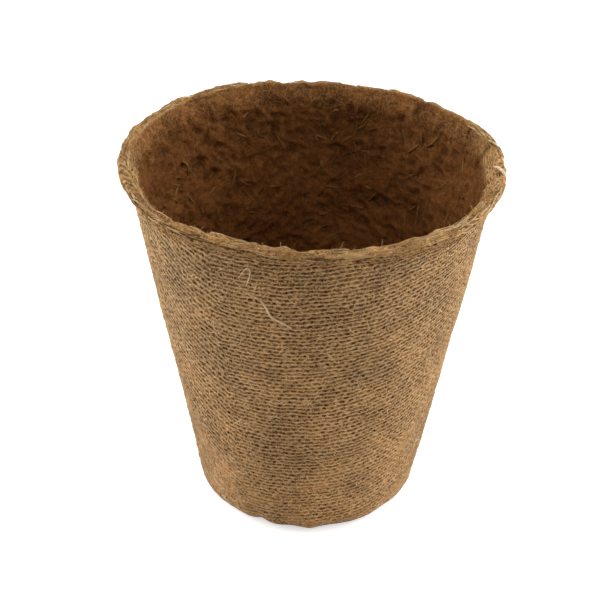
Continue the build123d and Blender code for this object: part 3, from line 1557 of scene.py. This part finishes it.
class NodeKit:
    """Adds and links the nodes of one tree."""

    def __init__(self, tree: bpy.types.NodeTree) -> None:
        """Takes the tree to work in."""
        self.tree = tree

    @classmethod
    def of_material(cls, name: str) -> tuple["NodeKit", bpy.types.Material]:
        """Starts a new material.

        Args:
            name: Its name.

        Returns:
            A kit for its empty tree, and the material.
        """
        material = bpy.data.materials.new(name)
        material.use_nodes = True
        material.node_tree.nodes.clear()
        return cls(material.node_tree), material

    def add(self, kind: str, inputs: dict | None = None, **settings: object) -> bpy.types.Node:
        """Adds a node.

        Args:
            kind: Its type.
            inputs: Values or sockets for its inputs, by name or number.
            settings: Its properties.

        Returns:
            The new node.
        """
        node = self.tree.nodes.new(kind)
        for name, value in settings.items():
            setattr(node, name, value)
        for name, value in (inputs or {}).items():
            if isinstance(value, Socket):
                self.tree.links.new(value, node.inputs[name])
            else:
                node.inputs[name].default_value = value
        return node

    def math(self, operation: str, first: object, second: object = MIDDLE) -> Socket:
        """Adds a sum of two values and returns its result."""
        return self.add("ShaderNodeMath", {0: first, 1: second}, operation=operation).outputs[0]

    def times(self, first: object, second: object) -> Socket:
        """Adds a product of two values and returns its result."""
        return self.math("MULTIPLY", first, second)

    def mix(self, share: object, first: object, second: object, blend: str = "MIX") -> Socket:
        """Adds a mix of two colours.

        Args:
            share: How much of the second colour goes in.
            first: A colour, or a socket that gives one.
            second: The same.
            blend: How they are mixed.

        Returns:
            The socket of the mixed colour.
        """
        first, second = (colour if isinstance(colour, Socket) else (*colour, 1)
                         for colour in (first, second))
        node = self.add("ShaderNodeMix", {0: share, 6: first, 7: second}, data_type="RGBA", blend_type=blend)
        return node.outputs[2]

    def dim(self, colour: Socket, level: Socket) -> Socket:
        """Adds a colour times a level and returns its result."""
        grey = self.add("ShaderNodeCombineColor", {0: level, 1: level, 2: level}).outputs[0]
        return self.mix(1.0, colour, grey, "MULTIPLY")

    def spread(self, value: object, low: float, high: float, to_low: object, to_high: object) -> Socket:
        """Adds a clamped change of range and returns its result."""
        return self.add("ShaderNodeMapRange", {0: value, 1: low, 2: high, 3: to_low, 4: to_high}).outputs[0]

    def noise(self, where: object, scale: object, detail: float, bend: float = 0.0) -> Socket:
        """Adds a noise and returns its value."""
        inputs = {"Vector": where, "Scale": scale, "Detail": detail, "Distortion": bend}
        return self.add("ShaderNodeTexNoise", inputs).outputs[0]

    def from_middle(self, value: object) -> Socket:
        """Adds the distance of a value from the middle of its range and returns it."""
        return self.math("ABSOLUTE", self.math("SUBTRACT", value, MIDDLE))

    def note(self, name: str) -> Socket:
        """Adds a reader of one of the felt's notes and returns its value."""
        return self.add("ShaderNodeAttribute", attribute_name=name).outputs["Fac"]

    def vary(self, colour: Socket, value: Socket, low: float, high: float, gain: float) -> Socket:
        """Adds a colour that gets brighter by a gain as a value goes through a range, and returns it."""
        return self.dim(colour, self.spread(value, low, high, 1 - gain, 1 + gain))

    def bumped(self, height: Socket, strength: float, depth_m: float) -> Socket:
        """Adds a bump and returns its normal."""
        inputs = {"Strength": strength, "Distance": depth_m, "Height": height}
        return self.add("ShaderNodeBump", inputs).outputs[0]

    def place_group(self, tree: bpy.types.NodeTree, inputs: dict) -> bpy.types.bpy_prop_collection:
        """Adds a group and returns its outputs."""
        return self.add("ShaderNodeGroup", inputs, node_tree=tree).outputs

    def finish(self, inputs: dict) -> None:
        """Adds the surface's shader, with some inputs, and puts it out."""
        shader = self.add("ShaderNodeBsdfPrincipled", inputs)
        self.add("ShaderNodeOutputMaterial", {"Surface": shader.outputs[0]})


def new_group(name: str, given: dict[str, str], results: tuple[str, ...]) -> bpy.types.NodeTree:
    """Starts a shader node group.

    Args:
        name: Its name.
        given: Kinds of its inputs, by their names.
        results: Names of its outputs, which are all values.

    Returns:
        The group with its sockets.
    """
    tree = bpy.data.node_groups.new(name, "ShaderNodeTree")
    for socket, kind in given.items():
        tree.interface.new_socket(socket, in_out="INPUT", socket_type=kind)
    for socket in results:
        tree.interface.new_socket(socket, in_out="OUTPUT", socket_type=VALUE_SOCKET)
    return tree


@dataclass(frozen=True)
class FibreLayer:
    """One layer of the thin fibres in the felt."""

    size: float
    width: float
    shift: Colour


@dataclass(frozen=True)
class FeltPattern:
    """The felt's blotches, fine grain and thin curved fibres, as a shared group."""

    name: str = "felt_fibres"
    blotch_detail: float = 4.0
    blotch_bend: float = 0.6
    layers: tuple[FibreLayer, ...] = (
        FibreLayer(size=1.0, width=0.035, shift=(0, 0, 0.05)),
        FibreLayer(size=0.55, width=0.022, shift=(0.13, 0.07, 0.05)),
        FibreLayer(size=1.7, width=0.05, shift=(0.26, 0.14, 0.05)),
    )
    fibre_detail: float = 1.5
    fibre_bend: float = 1.2
    fibre_height: float = 0.5
    grain_size: float = 2.6
    grain_detail: float = 3.0

    def group(self) -> bpy.types.NodeTree:
        """Builds the group, once.

        Returns:
            A group that gives blotches, grain, fibres and the height of the last two.
        """
        known = bpy.data.node_groups.get(self.name)
        if known:
            return known
        inputs = {"Vector": "NodeSocketVector", "Fibre Scale": VALUE_SOCKET, "Blotch Scale": VALUE_SOCKET}
        tree = new_group(self.name, inputs, ("Blotch", "Grain", "Fibre", "Height"))
        kit = NodeKit(tree)
        given = kit.add("NodeGroupInput").outputs
        where, scale = given["Vector"], given["Fibre Scale"]
        blotch = kit.noise(where, given["Blotch Scale"], self.blotch_detail, self.blotch_bend)
        fibre = None
        for layer in self.layers:
            moved = kit.add("ShaderNodeVectorMath", {0: where, 1: layer.shift}, operation="ADD").outputs[0]
            wave = kit.noise(moved, kit.times(scale, layer.size), self.fibre_detail, self.fibre_bend)
            line = kit.spread(kit.from_middle(wave), 0, layer.width, 1, 0)
            fibre = line if fibre is None else kit.math("MAXIMUM", fibre, line)
        grain = kit.noise(where, kit.times(scale, self.grain_size), self.grain_detail)
        height = kit.math("ADD", kit.times(fibre, self.fibre_height), grain)
        kit.add("NodeGroupOutput", {"Blotch": blotch, "Grain": grain, "Fibre": fibre, "Height": height})
        return tree


@dataclass(frozen=True)
class DashPattern:
    """The dashes and ribs that the wire cloth left, as a shared group."""

    name: str = "cloth_dashes"
    half_lengths: Pair = (0.22, 0.36)
    end_fade: Pair = (-0.1, 0.08)
    side_fade: Pair = (0.15, 0.4)
    rib_fade: Pair = (0.26, 0.5)

    def group(self) -> bpy.types.NodeTree:
        """Builds the group, once.

        Returns:
            A group that gives the dashes and ribs at a place in the cloth.
        """
        known = bpy.data.node_groups.get(self.name)
        if known:
            return known
        inputs = dict.fromkeys(("Along", "Row", "Ragged"), VALUE_SOCKET)
        tree = new_group(self.name, inputs, ("Dash", "Rib"))
        kit = NodeKit(tree)
        given = kit.add("NodeGroupInput").outputs
        ragged = kit.math("SUBTRACT", given["Ragged"], MIDDLE)
        rows = kit.math("ADD", given["Row"], ragged)
        row = kit.math("FLOOR", rows)
        odd = kit.math("FLOORED_MODULO", row, 2.0)
        along = kit.math("ADD", given["Along"], kit.times(kit.math("ADD", odd, ragged), MIDDLE))
        cell = kit.add("ShaderNodeCombineXYZ", {0: kit.math("FLOOR", along), 1: row}).outputs[0]
        chance = kit.add("ShaderNodeTexWhiteNoise", {"Vector": cell}).outputs[0]
        side, level = (kit.from_middle(kit.math("FRACT", value)) for value in (along, rows))
        overrun = kit.math("SUBTRACT", side, kit.spread(chance, 0, 1, *self.half_lengths))
        dash = kit.times(kit.spread(overrun, *self.end_fade, 1, 0), kit.spread(level, *self.side_fade, 1, 0))
        kit.add("NodeGroupOutput", {"Dash": dash, "Rib": kit.spread(level, *self.rib_fade, 0, 1)})
        return tree


@dataclass(frozen=True)
class FeltColours:
    """Colours of one side of the felt."""

    light: Colour
    dark: Colour
    fibre: Colour


@dataclass(frozen=True)
class FeltFinish:
    """Finish of the felt, pressed outside, open inside and torn along the edge."""

    name: str
    outside: FeltColours
    inside: FeltColours
    torn: Colour
    torn_dark: Colour
    pit_tone_and_shade: Colour
    pale: Colour
    fibre_share: float = 0.6
    fibre_scale: float = 620.0
    fibre_cover: float = 0.45
    blotch_scale: float = 95.0
    blotch_range: Pair = (0.32, 0.68)
    blotch_gain: float = 0.13
    crest_shading_gain: float = 0.4
    grain_range: Pair = (0.3, 0.7)
    grain_gain: float = 0.6
    # Painted light: between these heights, in metres, the colour goes from the foot's lighter levels,
    # outside and inside, to the neck's darker level.
    painted_light_m: Pair = (0.01, 0.0753)
    painted_foot_light: Pair = (1.18, 1.6)
    painted_neck_shade: float = 0.67
    lip_m: Pair = (0.0755, 0.0785)
    lip_level: float = 1.28
    rib_fibre_and_highlight: float = 0.67
    crease_share: float = 0.8
    dash_dip: float = 0.8
    bump: float = 0.7
    bump_depth_m: float = 0.0002
    roughness: Pair = (0.98, 0.82)
    sheen: float = 0.28
    sheen_roughness: float = 0.36
    sheen_tint: Colour = (1.0, 0.97, 0.74)
    shine: float = 0.07

    def material(self) -> bpy.types.Material:
        """Builds the finish.

        Returns:
            A material that reads the notes of a felt piece.
        """
        kit, material = NodeKit.of_material(self.name)
        where = kit.add("ShaderNodeTexCoord").outputs["Object"]
        notes = [kit.note(note.name) for note in fields(FeltNotes)[1:]]
        along, row, mark, crease, torn, crest, inside, pale = notes
        scales = {"Fibre Scale": self.fibre_scale, "Blotch Scale": self.blotch_scale}
        felt = kit.place_group(FeltPattern().group(), {"Vector": where, **scales})
        grain, fibre = felt["Grain"], felt["Fibre"]
        cloth = kit.place_group(DashPattern().group(), {"Along": along, "Row": row, "Ragged": grain})
        dash, rib = kit.times(cloth["Dash"], mark), kit.times(cloth["Rib"], mark)
        tone = kit.spread(felt["Blotch"], *self.blotch_range, 0, 1)
        colour = kit.mix(inside, kit.mix(tone, self.outside.dark, self.outside.light),
                         kit.mix(tone, self.inside.dark, self.inside.light))
        colour = kit.mix(torn, colour, kit.mix(tone, self.torn_dark, self.torn))
        colour = kit.mix(pale, colour, self.pale)
        high = kit.add("ShaderNodeSeparateXYZ", {0: where}).outputs["Z"]
        # Painted light: lighter from the neck down to the foot, more so inside the pot, standing in for
        # light from the bright floor and for more light deep inside.
        painted_foot_level = kit.spread(inside, 0, 1, *self.painted_foot_light)
        colour = kit.dim(colour, kit.spread(high, *self.painted_light_m, painted_foot_level, self.painted_neck_shade))
        colour = kit.dim(colour, kit.spread(high, *self.lip_m, 1, self.lip_level))
        colour = kit.vary(colour, grain, *self.grain_range, self.grain_gain)
        # Painted highlight and shade: crests of the felt's lumps lighter, hollows darker.
        colour = kit.vary(colour, crest, 0, 1, self.crest_shading_gain)
        # Pale fibre colour on the ribs between rows: partly the felt's paler threads, partly a painted
        # highlight on the raised ribs.
        colour = kit.mix(kit.times(rib, self.rib_fibre_and_highlight), colour, self.outside.fibre)
        fibre_colour = kit.mix(inside, self.outside.fibre, self.inside.fibre)
        colour = kit.mix(kit.times(fibre, self.fibre_share), colour, fibre_colour)
        colour = kit.vary(colour, tone, 0, 1, self.blotch_gain)
        # Dashes go towards the pit colour as darker felt with painted shade; creases, grooves and folds go
        # towards it as painted shade, and the darker patches go the same way.
        pit_and_shade_share = kit.math("MAXIMUM", dash, kit.times(crease, self.crease_share))
        pit_and_shade_share = kit.times(pit_and_shade_share, kit.spread(fibre, 0, 1, 1, 1 - self.fibre_cover))
        height = kit.math("SUBTRACT", felt["Height"], kit.times(dash, self.dash_dip))
        kit.finish({
            "Base Color": kit.mix(pit_and_shade_share, colour, self.pit_tone_and_shade),
            "Roughness": kit.spread(grain, *self.grain_range, *self.roughness),
            "Specular IOR Level": self.shine,
            "Sheen Weight": self.sheen,
            "Sheen Roughness": self.sheen_roughness,
            "Sheen Tint": (*self.sheen_tint, 1),
            "Normal": kit.bumped(height, self.bump, self.bump_depth_m),
        })
        return material


@dataclass(frozen=True)
class StrawFinish:
    """Colours of the loose fibres."""

    name: str
    light: Colour
    dark: Colour
    tone_scale: float = 260.0
    tone_range: Pair = (0.35, 0.65)
    tone_detail: float = 1.0
    streak_scale: float = 2600.0
    streak_range: Pair = (0.3, 0.7)
    streak_detail: float = 3.0
    streak_bend: float = 0.4
    streak_levels: Pair = (0.75, 1.2)
    bump: float = 0.4
    bump_depth_m: float = 0.00006
    roughness: Pair = (0.75, 0.5)
    shine: float = 0.3

    def material(self) -> bpy.types.Material:
        """Builds the finish.

        Returns:
            A dry straw that differs from fibre to fibre.
        """
        kit, material = NodeKit.of_material(self.name)
        where = kit.add("ShaderNodeTexCoord").outputs["Object"]
        tone = kit.noise(where, self.tone_scale, self.tone_detail)
        streak = kit.noise(where, self.streak_scale, self.streak_detail, self.streak_bend)
        colour = kit.mix(kit.spread(tone, *self.tone_range, 0, 1), self.dark, self.light)
        kit.finish({
            "Base Color": kit.dim(colour, kit.spread(streak, *self.streak_range, *self.streak_levels)),
            "Roughness": kit.spread(streak, *self.streak_range, *self.roughness),
            "Specular IOR Level": self.shine,
            "Normal": kit.bumped(streak, self.bump, self.bump_depth_m),
        })
        return material


FELT = FeltFinish(
    name="peat_felt",
    outside=FeltColours(light=(0.264, 0.116, 0.031), dark=(0.133, 0.05, 0.011), fibre=(0.77, 0.48, 0.222)),
    # The inside colours are darker than the outside's: partly the open felt's own colour, partly painted
    # shade inside the pot.
    inside=FeltColours(
        light=(0.197, 0.0705, 0.0185), dark=(0.116, 0.0367, 0.0092), fibre=(0.28, 0.135, 0.04)),
    torn=(0.345, 0.175, 0.051),
    torn_dark=(0.225, 0.092, 0.0255),
    # Darker felt with painted shade, for the dashes, creases, grooves and folds.
    pit_tone_and_shade=(0.04, 0.0125, 0.002),
    pale=(0.7, 0.44, 0.18),
)
DULL_FELT = replace(FELT, sheen=0.0, shine=0.05)
OPEN_FELT = replace(DULL_FELT, name="open_felt", fibre_share=0.4, grain_gain=0.28, blotch_gain=0.0)
LIP_FELT = replace(DULL_FELT, name="torn_felt", fibre_scale=720, blotch_scale=170, bump=0.8, grain_gain=0.42)
STRAW = StrawFinish(name="dry_straw", light=(0.72, 0.54, 0.34), dark=(0.54, 0.36, 0.19))
FLUFF = StrawFinish(name="felt_fluff", light=(0.62, 0.43, 0.21), dark=(0.4, 0.23, 0.085))
CURL = StrawFinish(name="pale_curl", light=(0.86, 0.75, 0.55), dark=(0.7, 0.54, 0.34))
WISP = StrawFinish(name="dark_wisps", light=(0.225, 0.108, 0.032), dark=(0.13, 0.052, 0.012), shine=0.05)


@dataclass(frozen=True)
class Softbox:
    """A large soft lamp that faces the pot."""

    name: str
    bearing: float
    distance_m: float
    height_m: float
    power: float
    size_m: float = 0.6

    def hang(self, scene: bpy.types.Scene) -> None:
        """Hangs the lamp.

        Args:
            scene: Scene that it lights.
        """
        light = bpy.data.lights.new(self.name, "AREA")
        light.shape = "SQUARE"
        light.size = self.size_m
        light.energy = self.power
        lamp = bpy.data.objects.new(self.name, light)
        spot = Vector(place(self.bearing, self.distance_m, self.height_m))
        lamp.location = spot
        to_pot = Vector((0, 0, POT.pot_height / 2 * MM)) - spot
        lamp.rotation_euler = to_pot.to_track_quat("-Z", "Y").to_euler()
        scene.collection.objects.link(lamp)


@dataclass
class Studio:
    """Floor, light and camera."""

    camera_distance: float = 350.0
    camera_elevation: float = 32.51
    camera_roll: float = 1.14
    aim_right: float = -2.05
    aim_up: float = 4.24
    lens: float = 96.0
    near_clip_m: float = 0.01
    floor_size_m: float = 4.0
    floor_drop_m: float = 0.00002
    floor_paint: Colour = (0.8, 0.8, 0.8)
    floor_glow: float = 0.55
    ambient: float = 0.34
    lamps: tuple[Softbox, ...] = (
        Softbox(name="left_softbox", bearing=-107, distance_m=0.6, height_m=0.15, power=7.4),
        Softbox(name="right_softbox", bearing=102, distance_m=0.6, height_m=0.2, power=6.9),
        Softbox(name="front_softbox", bearing=0, distance_m=0.4, height_m=0.65, power=1.2),
    )

    def build(self) -> None:
        """Sets the stage."""
        scene = bpy.context.scene
        scene.view_settings.view_transform = "Standard"
        self.add_floor(scene)
        self.add_world(scene)
        for lamp in self.lamps:
            lamp.hang(scene)
        self.add_camera(scene)

    def add_floor(self, scene: bpy.types.Scene) -> None:
        """Lays the pale floor.

        Args:
            scene: Scene that it goes in.
        """
        mesh = bmesh.new()
        bmesh.ops.create_grid(mesh, x_segments=1, y_segments=1, size=self.floor_size_m / 2)
        bmesh.ops.translate(mesh, verts=mesh.verts[:], vec=(0, 0, -self.floor_drop_m))
        data = bpy.data.meshes.new("studio_floor")
        mesh.to_mesh(data)
        mesh.free()
        kit, material = NodeKit.of_material("studio_floor")
        paint = kit.add("ShaderNodeBsdfDiffuse", {"Color": (*self.floor_paint, 1)})
        seen = kit.add("ShaderNodeLightPath").outputs["Is Camera Ray"]
        glow = kit.add("ShaderNodeEmission", {"Strength": kit.times(seen, self.floor_glow)})
        both = kit.add("ShaderNodeAddShader", {0: paint.outputs[0], 1: glow.outputs[0]})
        kit.add("ShaderNodeOutputMaterial", {"Surface": both.outputs[0]})
        data.materials.append(material)
        floor = bpy.data.objects.new("studio_floor", data)
        scene.collection.objects.link(floor)

    def add_world(self, scene: bpy.types.Scene) -> None:
        """Surrounds the pot with even white light.

        Args:
            scene: Scene that it lights.
        """
        world = bpy.data.worlds.new("light_tent")
        world.use_nodes = True
        world.node_tree.nodes.clear()
        kit = NodeKit(world.node_tree)
        seen = kit.add("ShaderNodeLightPath").outputs["Is Camera Ray"]
        level = kit.spread(seen, 0, 1, self.ambient, 1.0)
        background = kit.add("ShaderNodeBackground", {"Color": (1, 1, 1, 1), "Strength": level})
        kit.add("ShaderNodeOutputWorld", {"Surface": background.outputs[0]})
        scene.world = world

    def add_camera(self, scene: bpy.types.Scene) -> None:
        """Stands the camera where the photograph was taken from.

        Args:
            scene: Scene that it looks at.
        """
        lift = math.radians(self.camera_elevation)
        middle = Vector((0, 0, POT.pot_height / 2))
        ahead = Vector((0, math.cos(lift), -math.sin(lift)))
        up = Vector((0, math.sin(lift), math.cos(lift)))
        spot = middle - ahead * self.camera_distance
        aim = middle + Vector((1, 0, 0)) * self.aim_right + up * self.aim_up
        data = bpy.data.cameras.new("camera")
        data.lens = self.lens
        data.clip_start = self.near_clip_m
        camera = bpy.data.objects.new("camera", data)
        roll = Matrix.Rotation(math.radians(self.camera_roll), 3, "Z")
        turn = (aim - spot).to_track_quat("-Z", "Y").to_matrix() @ roll
        camera.matrix_world = Matrix.Translation(spot * MM) @ turn.to_4x4()
        scene.collection.objects.link(camera)
        scene.camera = camera


RIM_CURLS = RimCurls(
    name="rim_curls",
    placed=(
        (0.7, ((86.5, 37.5, 79.6), (84, 38.2, 80.2), (81.8, 39.2, 80.2), (80.9, 39.8, 79.7),
               (81.4, 39.9, 79.0))),
        (0.34, ((106, 38.0, 79.6), (103.5, 38.8, 79.9), (100.5, 39.5, 79.7), (99.5, 39.9, 79.1))),
    ),
)
RIM_LOOPS = RimCurls(
    name="rim_loops",
    placed=(
        (0.16, ((-30, 38.7, 80.0), (-29, 38.9, 80.9), (-27, 38.9, 81.0), (-25.5, 38.8, 80.2))),
        (0.7, ((-18, 38.8, 79.9), (-17.4, 38.9, 80.5), (-16.8, 38.9, 80.0))),
        (1.1, ((7.8, 39.4, 79.3), (9.5, 39.75, 79.5), (12.5, 39.75, 79.5), (14.6, 39.4, 79.2))),
    ),
)
WALL_FLUFF = LyingFibres(
    name="wall_fluff", side=Side.OUTSIDE, count=2400, heights=(3, 74), lengths=(0.8, 3.4),
    diameters=(0.13, 0.26), lift=0.04, wander=22, seed=3,
    placed=(
        ((-15.7, 62.5), (-14.9, 62.6), (-13.1, 63.6)),
        ((-14.9, 62.6), (-14.7, 61.9), (-14.6, 61.3)),
        ((-34.4, 64.3), (-33.6, 62.2), (-33.6, 59.7)),
        ((-43.3, 57.4), (-43.1, 57.0), (-43.0, 56.5)),
        ((-24.0, 50.4), (-23.9, 49.5), (-23.8, 48.7)),
        ((-29.1, 38.3), (-28.8, 37.3), (-28.9, 36.3)),
        ((-65.6, 35.6), (-62.0, 36.9), (-58.7, 37.6)),
        ((-52.1, 35.6), (-52.3, 34.2), (-51.9, 32.9)),
        ((31.6, 57.5), (33.2, 59.2), (35.2, 60.6)),
        ((17.1, 67.7), (17.3, 66.5), (17.4, 65.4)),
        ((23.6, 73.5), (23.7, 74.0), (23.9, 74.6)),
        ((17.2, 18.7), (21.8, 18.0), (27.7, 16.8)),
        ((26.0, 24.8), (26.7, 23.6), (27.0, 22.3)),
        ((-23.6, 64.1), (-22.0, 64.3), (-20.7, 65.1)),
    ),
)
INSIDE_WISPS = LyingFibres(
    name="inside_wisps", side=Side.INSIDE, count=600, heights=(6, 75), lengths=(2.0, 5.5),
    diameters=(0.4, 0.9), lift=-0.05, wander=8, seed=5,
)
LONG_STRAW = Straw(
    name="long_straw", node="long_fibre", diameter=0.42, lift=0.2,
    path=((-19.6, 67.9), (-17.8, 67.6), (-15.9, 67.1), (-14.4, 66.3), (-13.5, 65.2), (-12.9, 64.2),
          (-12.1, 63.0), (-10.8, 62.4), (-8.9, 61.8), (-7.1, 61.2), (-5.5, 60.5)),
    branches=(
        ((-12.9, 64.2), (-11.9, 63.0), (-10.9, 61.7)),
        ((-23.0, 70.0), (-21.5, 69.0), (-19.6, 67.9)),
    ),
)
LOOP_STRAW = Straw(
    name="loop_straw", node="loop_fibre", diameter=0.26, lift=0.15,
    path=((-21.7, 71.0), (-20.4, 72.4), (-19.2, 73.7), (-18.2, 74.2), (-17.6, 73.6), (-17.7, 72.4),
          (-18.7, 70.7), (-19.2, 69.6)),
)


def main() -> None:
    """Builds the pot and its stage."""
    logging.basicConfig(level=logging.INFO, format="%(message)s")
    felt, open_felt, lip_felt = FELT.material(), OPEN_FELT.material(), LIP_FELT.material()
    straw, fluff, wisp, curl = STRAW.material(), FLUFF.material(), WISP.material(), CURL.material()
    for panel in ClothPanel:
        lay = panel.value
        OutsideWall(name=lay.name, first_bearing=lay.first_bearing, panel=panel).build(felt)
    InsideWall().build(open_felt)
    FeltFloor().build(open_felt)
    lip = TornLip().build(lip_felt)
    LipStrands().build(lip, fluff)
    RIM_CURLS.build(curl)
    RIM_LOOPS.build(fluff)
    RimFluff().build(lip, fluff)
    WALL_FLUFF.build(fluff)
    INSIDE_WISPS.build(wisp)
    LONG_STRAW.build(straw)
    LOOP_STRAW.build(straw)
    Studio().build()


if __name__ == "__main__":
    main()
